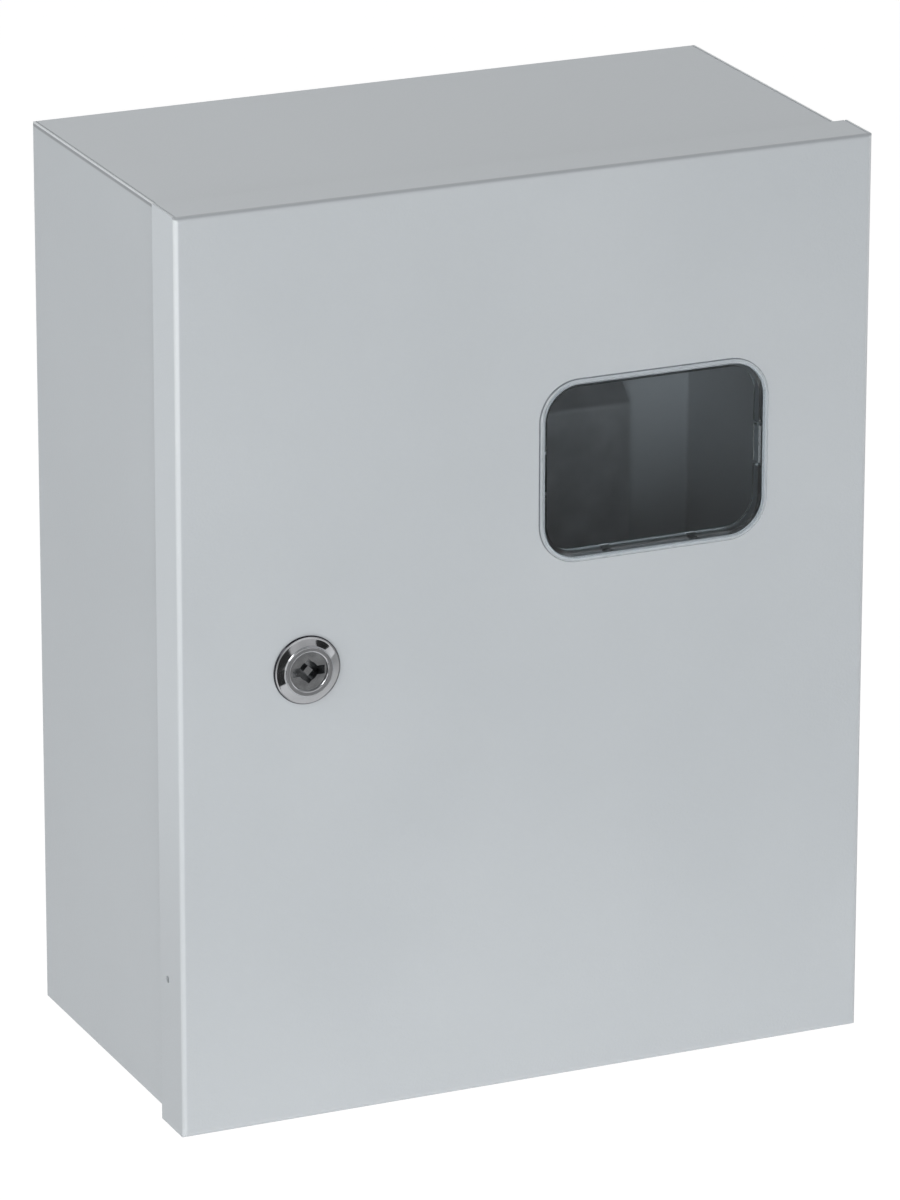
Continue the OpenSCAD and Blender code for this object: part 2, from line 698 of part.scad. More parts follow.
// Plate with round corners from y = 0 forward to -h, whose front edge has a bevel of 45 degrees.
module bevelled_plate(w, h, r, t, bevel) {
    straight_w = w - 2 * r;
    straight_h = h - 2 * r;
    along_x(-straight_w / 2, straight_w / 2)
        polygon([[0, -h / 2], [0, h / 2], [bevel - t, h / 2], [-t, h / 2 - bevel],
            [-t, bevel - h / 2], [bevel - t, -h / 2]]);
    along_z(-straight_h / 2, straight_h / 2)
        polygon([[-w / 2, 0], [-w / 2, bevel - t], [bevel - w / 2, -t], [w / 2 - bevel, -t],
            [w / 2, bevel - t], [w / 2, 0]]);
    for (sx = [-1, 1], sz = [-1, 1]) translate([sx * straight_w / 2, 0, sz * straight_h / 2])
        rotate([90, 0, 0]) rotate_extrude() polygon([[0, 0], [r, 0], [r, t - bevel], [r - bevel, t], [0, t]]);
}

// Clear moulding: a bevelled rim, a pane, a skirt through the cut-out, two long snap hooks at the
// sides and four short ones above and below, all of which catch behind the sheet.
module window_moulding() {
    rim_h = 1.6;
    rim_bevel = 1.1;
    pane_setback = 0.5;
    pane_front = front_y - pane_setback;
    pane_t = 1.8;
    skirt_gap = 0.3;
    skirt_t = 1.6;
    skirt_back = door_back_y + 5;
    skirt_w = cut_w - 2 * skirt_gap;
    skirt_h = cut_h - 2 * skirt_gap;
    skirt_r = cut_r - skirt_gap;
    hook_l = 16;
    hook_out = 1.4;
    hook_front = door_back_y + 0.3;
    slit_w = 1.5;
    short_hook_l = 4;
    short_hook_out = 0.9;
    short_hook_x = window_w * 0.19;
    color([0.75, 0.8, 0.83, 0.5]) translate([window_x, 0, window_z]) difference() {
        union() {
            translate([0, front_y, 0]) bevelled_plate(window_w, window_h, window_r, rim_h, rim_bevel);
            along_y(front_y - 0.01, skirt_back) round_rect(skirt_w, skirt_h, skirt_r);
            for (s = [-1, 1]) along_z(-hook_l / 2, hook_l / 2) polygon([
                [s * (skirt_w / 2 - 0.5), hook_front], [s * (skirt_w / 2 + hook_out), hook_front],
                [s * skirt_w / 2, skirt_back], [s * (skirt_w / 2 - 0.5), skirt_back]]);
            for (s = [-1, 1], x = [-short_hook_x, short_hook_x])
                along_x(x - short_hook_l / 2, x + short_hook_l / 2) polygon([
                    [hook_front, s * (skirt_h / 2 - 0.5)], [hook_front, s * (skirt_h / 2 + short_hook_out)],
                    [skirt_back, s * skirt_h / 2], [skirt_back, s * (skirt_h / 2 - 0.5)]]);
        }
        along_y(front_y - rim_h - 1, pane_front)
            round_rect(window_w - 2 * window_rim, window_h - 2 * window_rim, cut_r);
        along_y(pane_front + pane_t, skirt_back + 1)
            round_rect(skirt_w - 2 * skirt_t, skirt_h - 2 * skirt_t, skirt_r - skirt_t);
        for (sx = [-1, 1], sz = [-1, 1])
            translate([sx * skirt_w / 2, hook_front + 0.5, sz * (hook_l + slit_w) / 2]) rotate([-90, 0, 0])
                linear_extrude(skirt_back - hook_front) square([2 * skirt_t + 2, slit_w], center = true);
    }
}

// ---------------------------------------------------------------- lock

core_front = front_y - 2;
core_r = core_d / 2;
core_step = front_y + 10;
neck_r = 6;
barrel_back = shoulder_y + sheet + 0.3;
cam_front = barrel_back + 0.4;
cam_t = 2;
cam_l = lock_x + lip_half_w + cam_reach;
cam_square = 8;
cam_bore_r = cam_fixing_screw[0] + fit_gap;
cam_washer_t = 1.2;
lock_washer_t = 1;
barrel_nut = [barrel_r + fit_gap, barrel_d + 5, 5];

// Turned shape round the lock's axis: points are radius and distance behind the door's front.
module turned(points) {
    translate([lock_x, front_y, lock_z]) rotate([-90, 0, 0]) rotate_extrude() polygon(points);
}

// Chromed bezel with a sloping face and a raised ring, in one piece with the threaded barrel, whose
// two flats fit the hole in the door.
module lock_housing() {
    rim_r = bezel_d / 2;
    bore_r = core_r + fit_gap;
    neck_bore_r = neck_r + fit_gap;
    depth = barrel_back - front_y;
    step = core_step - front_y + 0.1;
    color("#d7dadd") difference() {
        turned([
            [rim_r, 0], [rim_r, -0.5], [rim_r - 0.3, -0.9], [rim_r - 1.1, -1], [rim_r - 3.9, -2.5],
            [rim_r - 4.1, -2.9], [rim_r - 4.4, -3.1], [bore_r + 0.5, -3.1], [bore_r, -2.7], [bore_r, step],
            [neck_bore_r, step], [neck_bore_r, depth], [barrel_r - 0.6, depth], [barrel_r, depth - 0.6],
            [barrel_r, 0]]);
        for (s = [-1, 1]) translate([lock_x + s * (barrel_flats / 2 + 2), front_y + depth / 2 + 0.5, lock_z])
            cube([4, depth + 1, 2 * barrel_r], center = true);
    }
}

// Washer and large nut that clamp the housing to the door from behind.
module lock_washer() {
    color(zinc) washer_y(lock_x, lock_z, door_back_y, door_back_y + lock_washer_t,
        barrel_r + 4, barrel_r + fit_gap);
}

module lock_nut() { color(zinc) nut_y(lock_x, lock_z, door_back_y + lock_washer_t, barrel_nut); }

// Turning core with a socket for a double bit key round a small square pin.
module lock_core() {
    socket_depth = 8;
    socket_r = 4.2;
    flare = 7.6;
    wing_l = 14.2;
    wing_w = 3.8;
    post = 3;
    color("#c6c9cc") difference() {
        union() {
            rod_y(lock_x, lock_z, core_front, core_step, core_r);
            rod_y(lock_x, lock_z, core_step - 0.01, cam_front, neck_r);
            translate([lock_x - cam_square / 2, cam_front - 0.01, lock_z - cam_square / 2])
                cube([cam_square, cam_t + 0.01, cam_square]);
        }
        difference() {
            translate([lock_x, 0, lock_z]) along_y(core_front - 1, core_front + socket_depth) union() {
                circle(socket_r);
                rotate(45) square(flare, center = true);
                square([wing_l, wing_w], center = true);
            }
            translate([lock_x, 0, lock_z]) along_y(core_front + 0.8, core_front + socket_depth + 1)
                rotate(45) square(post, center = true);
        }
        rod_y(lock_x, lock_z, cam_front + cam_t - 10, cam_front + cam_t + 1, cam_bore_r);
    }
}

// Flat cam on the core's square. It hangs down when unlocked and turns behind the gutter to lock.
module lock_cam() {
    hub_r = 8.5;
    root_half = 7;
    tip_half = 6;
    tip_r = 6.2;
    color(zinc) translate([lock_x, 0, lock_z]) along_y(cam_front, cam_front + cam_t) difference() {
        union() {
            circle(hub_r);
            polygon([[-root_half, 0], [-tip_half, -cam_l + tip_r], [tip_half, -cam_l + tip_r], [root_half, 0]]);
            translate([0, -cam_l + tip_r]) circle(tip_r);
        }
        square(cam_square + 2 * fit_gap, center = true);
    }
}

// Washer and screw that hold the cam on the core's end. The screw's head faces the wall.
module cam_washer() {
    y = cam_front + cam_t;
    color(zinc) washer_y(lock_x, lock_z, y, y + cam_washer_t, 6.5, cam_bore_r + fit_gap);
}

module cam_screw() {
    y = cam_front + cam_t + cam_washer_t;
    screw_l = 9;
    color(zinc) mirror([0, 1, 0]) screw_y(lock_x, lock_z, -y, -y + screw_l, cam_fixing_screw);
}

body_shell();
front_gutter();
seal_wire_lug();
plate_studs();
mounting_plate();
plate_washers();
plate_nuts();
device_rail();
rail_screws();
rail_nuts();
neutral_bar();
neutral_bar_feet();
neutral_bar_screws();
earth_bar();
earth_bar_feet();
earth_bar_screws();
bar_fixing_screws();
bar_fixing_nuts();
body_earth_stud();
body_earth_washer();
body_earth_nut();
cable_grommets();
upper_frame_hinge();
lower_frame_hinge();
hinge_screws();
hinge_nuts();
upper_hinge_pin();
lower_hinge_pin();
door_panel();
door_seal();
window_moulding();
upper_door_hinge();
lower_door_hinge();
door_earth_stud();
door_earth_washer();
door_earth_nut();
lock_housing();
lock_washer();
lock_nut();
lock_core();
lock_cam();
cam_washer();
cam_screw();
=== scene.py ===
import json
import math
import bpy
import numpy as np
from mathutils import Matrix, Vector


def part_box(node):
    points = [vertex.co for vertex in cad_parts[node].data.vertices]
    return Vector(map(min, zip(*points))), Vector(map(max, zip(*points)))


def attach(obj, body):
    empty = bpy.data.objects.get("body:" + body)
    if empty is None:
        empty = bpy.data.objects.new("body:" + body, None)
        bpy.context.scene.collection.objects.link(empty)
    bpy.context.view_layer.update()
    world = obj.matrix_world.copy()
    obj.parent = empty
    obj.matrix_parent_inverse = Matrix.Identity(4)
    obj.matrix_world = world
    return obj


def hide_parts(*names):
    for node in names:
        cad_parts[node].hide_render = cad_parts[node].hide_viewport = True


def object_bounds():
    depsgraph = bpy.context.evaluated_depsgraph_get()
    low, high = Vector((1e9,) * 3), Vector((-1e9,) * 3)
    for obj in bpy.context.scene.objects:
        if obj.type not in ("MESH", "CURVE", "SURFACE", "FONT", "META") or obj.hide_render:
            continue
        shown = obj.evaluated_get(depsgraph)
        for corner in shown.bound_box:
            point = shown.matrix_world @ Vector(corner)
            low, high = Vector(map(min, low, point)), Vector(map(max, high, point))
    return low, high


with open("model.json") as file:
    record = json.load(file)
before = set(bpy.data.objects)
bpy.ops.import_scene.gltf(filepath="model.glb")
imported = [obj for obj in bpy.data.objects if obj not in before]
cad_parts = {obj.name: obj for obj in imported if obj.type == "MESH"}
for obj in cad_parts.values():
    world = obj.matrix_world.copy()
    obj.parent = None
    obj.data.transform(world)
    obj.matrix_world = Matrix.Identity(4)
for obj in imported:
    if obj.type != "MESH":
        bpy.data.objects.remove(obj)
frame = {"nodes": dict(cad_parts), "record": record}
nodes = frame["nodes"]
cad_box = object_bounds()
MM = 0.001

# ---------------------------------------------------------------- studio
# A wide pale floor well below the enclosure, since it hangs on a wall, and a camera that looks
# down on it from the lock side. The long lens keeps the uprights nearly parallel.

camera_place = Vector((-1.258, -2.912, 1.062))
camera_yaw, camera_pitch, camera_roll = 0.4188, 0.3334, 0.0016
camera_data = bpy.data.cameras.new("camera")
camera_data.sensor_fit = "VERTICAL"
camera_data.sensor_height = 36
camera_data.lens = 233.2
camera_data.clip_end = 50
camera = bpy.data.objects.new("camera", camera_data)
camera.matrix_world = (Matrix.Translation(camera_place) @ Matrix.Rotation(-camera_yaw, 4, "Z")
    @ Matrix.Rotation(math.pi / 2 - camera_pitch, 4, "X") @ Matrix.Rotation(camera_roll, 4, "Z"))
bpy.context.collection.objects.link(camera)
bpy.context.scene.camera = camera
bpy.context.scene.view_settings.view_transform = "Standard"


def mesh_piece(name, grid, body, material, closed_u=False, closed_v=False, sharp_from=180):
    """A grid of points, shape (rows, columns, 3), made a mesh: each cell is one face, and the last
    row or column joins the first where that way round is closed. Its faces look outwards, and edges
    that turn by more than sharp_from degrees stay sharp. It rides on the body."""
    rows, columns = grid.shape[:2]
    index = np.arange(rows * columns).reshape(rows, columns)
    if closed_u:
        index = np.vstack([index, index[:1]])
    if closed_v:
        index = np.hstack([index, index[:, :1]])
    faces = np.stack([index[:-1, :-1], index[1:, :-1], index[1:, 1:], index[:-1, 1:]], axis=-1)
    faces = faces.reshape(-1, 4)
    mesh = bpy.data.meshes.new(name)
    mesh.from_pydata(grid.reshape(-1, 3).tolist(), [], faces.tolist())
    a, b, c, d = (grid.reshape(-1, 3)[faces[:, corner]] for corner in range(4))
    if closed_v and (a * np.cross(c - a, d - b)).sum() < 0:
        mesh.flip_normals()
    mesh.polygons.foreach_set("use_smooth", np.ones(len(faces), dtype=bool))
    mesh.set_sharp_from_angle(angle=math.radians(sharp_from))
    mesh.materials.append(material)
    piece = bpy.data.objects.new(name, mesh)
    bpy.context.collection.objects.link(piece)
    if body:
        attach(piece, body)
    return piece


def new_material(name, colour, roughness, metallic=0.0):
    """A material with one Principled shader. Values that stay the same all over go on its sockets."""
    material = bpy.data.materials.new(name)
    material.use_nodes = True
    shader = material.node_tree.nodes["Principled BSDF"]
    shader.inputs["Base Color"].default_value = (*colour, 1)
    shader.inputs["Roughness"].default_value = roughness
    shader.inputs["Metallic"].default_value = metallic
    return material, shader


# The floor keeps its soft shadow, but the camera sees it mostly as bright paper.
floor_material, floor_shader = new_material("studio_floor", (0.93, 0.93, 0.93), 0.9)
tree = floor_material.node_tree
paper = tree.nodes.new("ShaderNodeEmission")
paper.inputs["Color"].default_value = (1.15, 1.15, 1.15, 1)
ray = tree.nodes.new("ShaderNodeLightPath")
seen = tree.nodes.new("ShaderNodeMath")
seen.operation = "MULTIPLY"
seen.inputs[1].default_value = 0.8
paper_mix = tree.nodes.new("ShaderNodeMixShader")
tree.links.new(ray.outputs["Is Camera Ray"], seen.inputs[0])
tree.links.new(seen.outputs[0], paper_mix.inputs["Fac"])
tree.links.new(floor_shader.outputs["BSDF"], paper_mix.inputs[1])
tree.links.new(paper.outputs["Emission"], paper_mix.inputs[2])
tree.links.new(paper_mix.outputs["Shader"], tree.nodes["Material Output"].inputs["Surface"])
floor_side = 30.0
floor_drop = 0.75
floor_z = cad_box[0][2] - floor_drop
half = floor_side / 2
floor_corners = np.array([[[half, -half, floor_z], [-half, -half, floor_z]],
    [[half, half, floor_z], [-half, half, floor_z]]])
floor = mesh_piece("floor", floor_corners, None, floor_material)


def soft_light(name, place, target, size, watts):
    """A square soft box at place that faces target."""
    data = bpy.data.lights.new(name, "AREA")
    data.shape = "SQUARE"
    data.size = size
    data.energy = watts
    light = bpy.data.objects.new(name, data)
    light.location = place
    light.rotation_euler = (Vector(target) - Vector(place)).to_track_quat("-Z", "Y").to_euler()
    bpy.context.collection.objects.link(light)


cabinet_middle = (0, -0.08, 0)
soft_light("upper_left_box", (-2.2, -1.2, 1.8), cabinet_middle, 1.2, 25)
soft_light("near_camera_box", (-1.05, -2.9, 0.35), cabinet_middle, 1.0, 19.5)
soft_light("right_box", (1.3, -2.1, 0.7), cabinet_middle, 1.0, 2.2)
soft_light("behind_box", (0.0, 1.5, 2.2), cabinet_middle, 1.2, 19.2)
soft_light("low_box", (0.1, -0.6, -0.65), (0, -0.165, -0.25), 0.5, 1.25)
soft_light("low_left_box", (-1.22, -0.59, -0.124), (-0.155, -0.165, 0.1), 0.25, 1.6)


def dark_card(name, place, target, size, tone):
    """A square grey card at place that faces target. Only polished faces show it, as a dark
    reflection: it casts no shadow and sends no light back."""
    material, _ = new_material(name, (tone, tone, tone), 0.9)
    place = Vector(place)
    away = (Vector(target) - place).normalized()
    side = away.cross(Vector((0, 0, 1))).normalized() * size / 2
    up = side.cross(away).normalized() * size / 2
    corners = np.array([[place - side - up, place + side - up], [place - side + up, place + side + up]])
    card = mesh_piece(name, corners, None, material)
    card.visible_camera = False
    card.visible_diffuse = False
    card.visible_shadow = False


dark_card("right_card", (0.61, -1.55, -0.53), (0, -0.165, 0), 0.9, 0.35)
lock_face = (-0.1, -0.165, 0)
dark_card("left_card", (-0.62, -1.15, -0.50), lock_face, 0.7, 0.03)
dark_card("near_camera_card", (-0.73, -1.95, 0.22), lock_face, 1.1, 0.03)
dark_card("upper_right_card", (0.80, -0.86, 0.39), lock_face, 0.42, 0.01)

world = bpy.data.worlds.new("studio")
world.use_nodes = True
bpy.context.scene.world = world
tree = world.node_tree
direction = tree.nodes.new("ShaderNodeTexCoord")
split = tree.nodes.new("ShaderNodeSeparateXYZ")
ramp = tree.nodes.new("ShaderNodeValToRGB")
ramp.color_ramp.elements[0].color = (0.9, 0.9, 0.9, 1)
ramp.color_ramp.elements[1].color = (0.16, 0.16, 0.16, 1)
paper = tree.nodes.new("ShaderNodeBackground")
paper.inputs["Color"].default_value = (1, 1, 1, 1)
ray = tree.nodes.new("ShaderNodeLightPath")
by_ray = tree.nodes.new("ShaderNodeMixShader")
tree.links.new(direction.outputs["Generated"], split.inputs[0])
tree.links.new(split.outputs["Z"], ramp.inputs[0])
tree.links.new(ramp.outputs["Color"], tree.nodes["Background"].inputs["Color"])
tree.links.new(ray.outputs["Is Camera Ray"], by_ray.inputs["Fac"])
tree.links.new(tree.nodes["Background"].outputs["Background"], by_ray.inputs[1])
tree.links.new(paper.outputs["Background"], by_ray.inputs[2])
tree.links.new(by_ray.outputs["Shader"], tree.nodes["World Output"].inputs["Surface"])


# ---------------------------------------------------------------- shared effects
# What several finishes share, as node groups: the pebbled skin of coats and mouldings, the slow drift
# of a plating's tone, and the fine lines of rolled or drawn metal. Each finish sets its own values.

def effect_group(name, inputs, outputs):
    """A node group with named value inputs (name, default) and outputs (name, socket type)."""
    group = bpy.data.node_groups.new(name, "ShaderNodeTree")
    for label, kind, value in inputs:
        socket = group.interface.new_socket(label, in_out="INPUT", socket_type=kind)
        if value is not None:
            socket.default_value = value
    for label, kind in outputs:
        group.interface.new_socket(label, in_out="OUTPUT", socket_type=kind)
    return group, group.nodes.new("NodeGroupInput"), group.nodes.new("NodeGroupOutput")


# Fine pebbled skin, such as powder coat or moulded rubber: two sizes of noise, one inside the other.
pebble, pebble_in, pebble_out = effect_group("pebbled_skin",
    [("Place", "NodeSocketVector", None), ("Grains per metre", "NodeSocketFloat", 700.0),
     ("Swell share", "NodeSocketFloat", 0.5)], [("Height", "NodeSocketFloat")])
grain = pebble.nodes.new("ShaderNodeTexNoise")
grain.inputs["Detail"].default_value = 2.0
grain.inputs["Roughness"].default_value = 0.45
swell = pebble.nodes.new("ShaderNodeTexNoise")
swell.inputs["Detail"].default_value = 1.0
swell_scale = pebble.nodes.new("ShaderNodeMath")
swell_scale.operation = "MULTIPLY"
swell_scale.inputs[1].default_value = 0.12
height_mix = pebble.nodes.new("ShaderNodeMix")
height_mix.data_type = "FLOAT"
link = pebble.links.new
link(pebble_in.outputs["Place"], grain.inputs["Vector"])
link(pebble_in.outputs["Place"], swell.inputs["Vector"])
link(pebble_in.outputs["Grains per metre"], grain.inputs["Scale"])
link(pebble_in.outputs["Grains per metre"], swell_scale.inputs[0])
link(swell_scale.outputs[0], swell.inputs["Scale"])
link(pebble_in.outputs["Swell share"], height_mix.inputs["Factor"])
link(grain.outputs["Fac"], height_mix.inputs[2])
link(swell.outputs["Fac"], height_mix.inputs[3])
link(height_mix.outputs[0], pebble_out.inputs["Height"])

# Slow drift between two tones, such as uneven plating or a coat that is a little thicker here and there.
drift, drift_in, drift_out = effect_group("tone_drift",
    [("Place", "NodeSocketVector", None), ("Patches per metre", "NodeSocketFloat", 12.0),
     ("Tone", "NodeSocketColor", (0.5, 0.5, 0.5, 1)),
     ("Other tone", "NodeSocketColor", (0.6, 0.6, 0.6, 1))],
    [("Tone", "NodeSocketColor"), ("Mask", "NodeSocketFloat")])
patches = drift.nodes.new("ShaderNodeTexNoise")
patches.inputs["Detail"].default_value = 3.0
spread = drift.nodes.new("ShaderNodeMapRange")
spread.inputs["From Min"].default_value = 0.3
spread.inputs["From Max"].default_value = 0.7
tone_mix = drift.nodes.new("ShaderNodeMix")
tone_mix.data_type = "RGBA"
link = drift.links.new
link(drift_in.outputs["Place"], patches.inputs["Vector"])
link(drift_in.outputs["Patches per metre"], patches.inputs["Scale"])
link(patches.outputs["Fac"], spread.inputs["Value"])
link(spread.outputs["Result"], tone_mix.inputs["Factor"])
link(drift_in.outputs["Tone"], tone_mix.inputs[6])
link(drift_in.outputs["Other tone"], tone_mix.inputs[7])
link(tone_mix.outputs[2], drift_out.inputs["Tone"])
link(spread.outputs["Result"], drift_out.inputs["Mask"])

# Fine lines left by rolling, drawing or brushing: noise stretched along one axis.
lines, lines_in, lines_out = effect_group("drawn_lines",
    [("Place", "NodeSocketVector", None), ("Squeeze", "NodeSocketVector", (1.0, 1.0, 1.0)),
     ("Lines per metre", "NodeSocketFloat", 900.0)], [("Lines", "NodeSocketFloat")])
squeezed = lines.nodes.new("ShaderNodeVectorMath")
squeezed.operation = "MULTIPLY"
streaks = lines.nodes.new("ShaderNodeTexNoise")
streaks.inputs["Detail"].default_value = 2.5
link = lines.links.new
link(lines_in.outputs["Place"], squeezed.inputs[0])
link(lines_in.outputs["Squeeze"], squeezed.inputs[1])
link(squeezed.outputs[0], streaks.inputs["Vector"])
link(lines_in.outputs["Lines per metre"], streaks.inputs["Scale"])
link(streaks.outputs["Fac"], lines_out.inputs["Lines"])


def add_effect(material, group, place, **values):
    """Puts a shared effect into a material, with its place input linked and its own values set."""
    node = material.node_tree.nodes.new("ShaderNodeGroup")
    node.node_tree = group
    material.node_tree.links.new(place, node.inputs["Place"])
    for label, value in values.items():
        node.inputs[label.replace("_", " ")].default_value = value
    return node


def object_place(material):
    """The socket with the point's place on the piece, in metres."""
    return material.node_tree.nodes.new("ShaderNodeTexCoord").outputs["Object"]


def uneven_tone(material, shader, place, patches_per_metre, tone, other):
    """A base colour that drifts between two tones. Gives back the node, for its Tone and Mask."""
    node = add_effect(material, drift, place, Patches_per_metre=patches_per_metre,
        Tone=(*tone, 1), Other_tone=(*other, 1))
    material.node_tree.links.new(node.outputs["Tone"], shader.inputs["Base Color"])
    return node


def add_relief(material, shader, height, depth):
    """A Bump node of that depth in metres between a height and the shader's normal."""
    bump = material.node_tree.nodes.new("ShaderNodeBump")
    bump.inputs["Distance"].default_value = depth
    material.node_tree.links.new(height, bump.inputs["Height"])
    material.node_tree.links.new(bump.outputs["Normal"], shader.inputs["Normal"])
    return bump


def vary_roughness(material, shader, value, low, high):
    """Links a value from 0 to 1 to the roughness, between low and high."""
    spread_node = material.node_tree.nodes.new("ShaderNodeMapRange")
    spread_node.inputs["To Min"].default_value = low
    spread_node.inputs["To Max"].default_value = high
    material.node_tree.links.new(value, spread_node.inputs["Value"])
    material.node_tree.links.new(spread_node.outputs["Result"], shader.inputs["Roughness"])


def finish_nodes(material, *names):
    """Gives CAD nodes this material."""
    for name in names:
        mesh = nodes[name].data
        mesh.materials.clear()
        mesh.materials.append(material)


# ---------------------------------------------------------------- body and door
# Folded sheet steel, 1.2 mm, powder coated in light bluish grey inside and out. The coat has a fine
# pebbled skin and is a little uneven in tone and gloss.

def coat(name, edge_radius):
    """The powder coat. It flows round sharp edges, which the Bevel node rounds for the light by
    edge_radius. Gives back the material, its shader, the tone node and the place."""
    material, shader = new_material(name, (0.5, 0.53, 0.55), 0.4)
    place = object_place(material)
    tone = uneven_tone(material, shader, place, 9.0, (0.455, 0.484, 0.507), (0.475, 0.504, 0.527))
    skin = add_effect(material, pebble, place, Grains_per_metre=900.0, Swell_share=0.35)
    relief = add_relief(material, shader, skin.outputs["Height"], 0.00012)
    soft_edge = material.node_tree.nodes.new("ShaderNodeBevel")
    soft_edge.samples = 4
    soft_edge.inputs["Radius"].default_value = edge_radius
    material.node_tree.links.new(soft_edge.outputs["Normal"], relief.inputs["Normal"])
    vary_roughness(material, shader, tone.outputs["Mask"], 0.34, 0.42)
    return material, shader, tone, place


def coordinates(material, place):
    """The X, Y and Z sockets of a place."""
    node = material.node_tree.nodes.new("ShaderNodeSeparateXYZ")
    material.node_tree.links.new(place, node.inputs[0])
    return node.outputs["X"], node.outputs["Y"], node.outputs["Z"]


def span(material, value, low, high, least=0.0):
    """A mask that is least where value is below low and 1 where it is above high."""
    node = material.node_tree.nodes.new("ShaderNodeMapRange")
    node.interpolation_type = "SMOOTHSTEP"
    node.inputs["From Min"].default_value = low
    node.inputs["From Max"].default_value = high
    node.inputs["To Min"].default_value = least
    material.node_tree.links.new(value, node.inputs["Value"])
    return node.outputs["Result"]


def reckon(material, operation, first, second=None):
    """One Math node on one or two sockets. A number as second goes on the node's own input."""
    node = material.node_tree.nodes.new("ShaderNodeMath")
    node.operation = operation
    material.node_tree.links.new(first, node.inputs[0])
    if isinstance(second, float):
        node.inputs[1].default_value = second
    elif second is not None:
        material.node_tree.links.new(second, node.inputs[1])
    return node.outputs[0]


def aside(material, place, centre, half_x=0.0, half_z=0.0, corner=0.0):
    """How far a point is, seen along Y, outside an oblong with rounded corners around centre. Inside
    it the value goes down to -corner. With no size, it is the distance from centre."""
    def vector_step(operation, first, second=None):
        node = material.node_tree.nodes.new("ShaderNodeVectorMath")
        node.operation = operation
        material.node_tree.links.new(first, node.inputs[0])
        if second is not None:
            node.inputs[1].default_value = second
        return node
    point = vector_step("SUBTRACT", place, (centre[0], 0, centre[1])).outputs[0]
    point = vector_step("MULTIPLY", point, (1, 0, 1)).outputs[0]
    point = vector_step("ABSOLUTE", point).outputs[0]
    if corner > 0:
        point = vector_step("SUBTRACT", point, (half_x - corner, 0, half_z - corner)).outputs[0]
        point = vector_step("MAXIMUM", point, (0, 0, 0)).outputs[0]
    return reckon(material, "SUBTRACT", vector_step("LENGTH", point).outputs["Value"], float(corner))


def tone_where(material, mask, under, colour):
    """The colour where mask is 1, and the colour or socket under where it is 0.

    A Mix node's colour sockets are 6 and 7, and 2 among its outputs.
    """
    node = material.node_tree.nodes.new("ShaderNodeMix")
    node.data_type = "RGBA"
    node.inputs[7].default_value = (*colour, 1)
    material.node_tree.links.new(mask, node.inputs["Factor"])
    if isinstance(under, tuple):
        node.inputs[6].default_value = (*under, 1)
    else:
        material.node_tree.links.new(under, node.inputs[6])
    return node.outputs[2]


# Under the door's top corners, on the body's side just below its top edge: a painted shade line, with a
# painted highlight line above it at the edge.
_, body_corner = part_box("body_shell")
body_side, body_top = body_corner[0], body_corner[2]
powder_coat, shader, tone, place = coat("powder_coat", 0.5 * MM)
x, y, z = coordinates(powder_coat, place)
at_side = span(powder_coat, reckon(powder_coat, "ABSOLUTE", x), body_side - 0.8 * MM, body_side - 0.3 * MM)
painted_seam_shade = reckon(powder_coat, "MULTIPLY", at_side,
    span(powder_coat, z, body_top - 2.3 * MM, body_top - 1.5 * MM))
painted_seam_highlight = reckon(powder_coat, "MULTIPLY", at_side,
    span(powder_coat, z, body_top - 0.8 * MM, body_top - 0.3 * MM))
# Painted shade on the side below the seam, then a painted highlight at the top edge.
colour = tone_where(powder_coat, painted_seam_shade, tone.outputs["Tone"], (0.27, 0.285, 0.30))
colour = tone_where(powder_coat, painted_seam_highlight, colour, (0.68, 0.71, 0.73))
powder_coat.node_tree.links.new(colour, shader.inputs["Base Color"])
finish_nodes(powder_coat, "body_shell", "front_gutter", "seal_wire_lug")

# The door's side flanges are painted lighter toward the top as painted light. The side bends carry a
# painted highlight that is weaker lower down, and the sharp top bend has a painted shade line.
door_low, door_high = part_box("door_panel")
door_side, door_top, door_face = door_high[0], door_high[2], -door_low[1]
flange_light_fade_z = (-0.165, 0.0)
bend_highlight_fade_z = (-0.05, 0.2)
door_coat, shader, tone, place = coat("door_coat", 0.3 * MM)
x, y, z = coordinates(door_coat, place)
sideways = reckon(door_coat, "ABSOLUTE", x)
forward = reckon(door_coat, "MULTIPLY", y, -1.0)
painted_flange_light = reckon(door_coat, "MULTIPLY", span(door_coat, z, *flange_light_fade_z),
    span(door_coat, sideways, door_side - 1.1 * MM, door_side - 0.1 * MM))
side_bend_band = reckon(door_coat, "MULTIPLY",
    span(door_coat, sideways, door_side - 1.9 * MM, door_side - 1.2 * MM),
    span(door_coat, forward, door_face - 2.4 * MM, door_face - 1.6 * MM))
painted_bend_highlight = reckon(door_coat, "MULTIPLY", side_bend_band, span(door_coat, z, *bend_highlight_fade_z, least=0.5))
painted_top_bend_shade = reckon(door_coat, "MULTIPLY",
    span(door_coat, z, door_top - 1.2 * MM, door_top - 0.4 * MM),
    span(door_coat, forward, door_face - 2.8 * MM, door_face - 2.0 * MM))
# Painted light on the flanges, a painted highlight on the side bends, and painted shade on the top bend.
colour = tone_where(door_coat, painted_flange_light, tone.outputs["Tone"], (0.535, 0.569, 0.595))
colour = tone_where(door_coat, painted_bend_highlight, colour, (0.62, 0.65, 0.67))
colour = tone_where(door_coat, painted_top_bend_shade, colour, (0.36, 0.38, 0.40))
door_coat.node_tree.links.new(colour, shader.inputs["Base Color"])
finish_nodes(door_coat, "door_panel")


# ---------------------------------------------------------------- zinc plated steel
# Mounting plate, rail, hinges, studs, screws and nuts: pressed or turned steel with bright zinc
# plating. Rolling leaves fine upright lines on the plate, and the plating is cloudy.

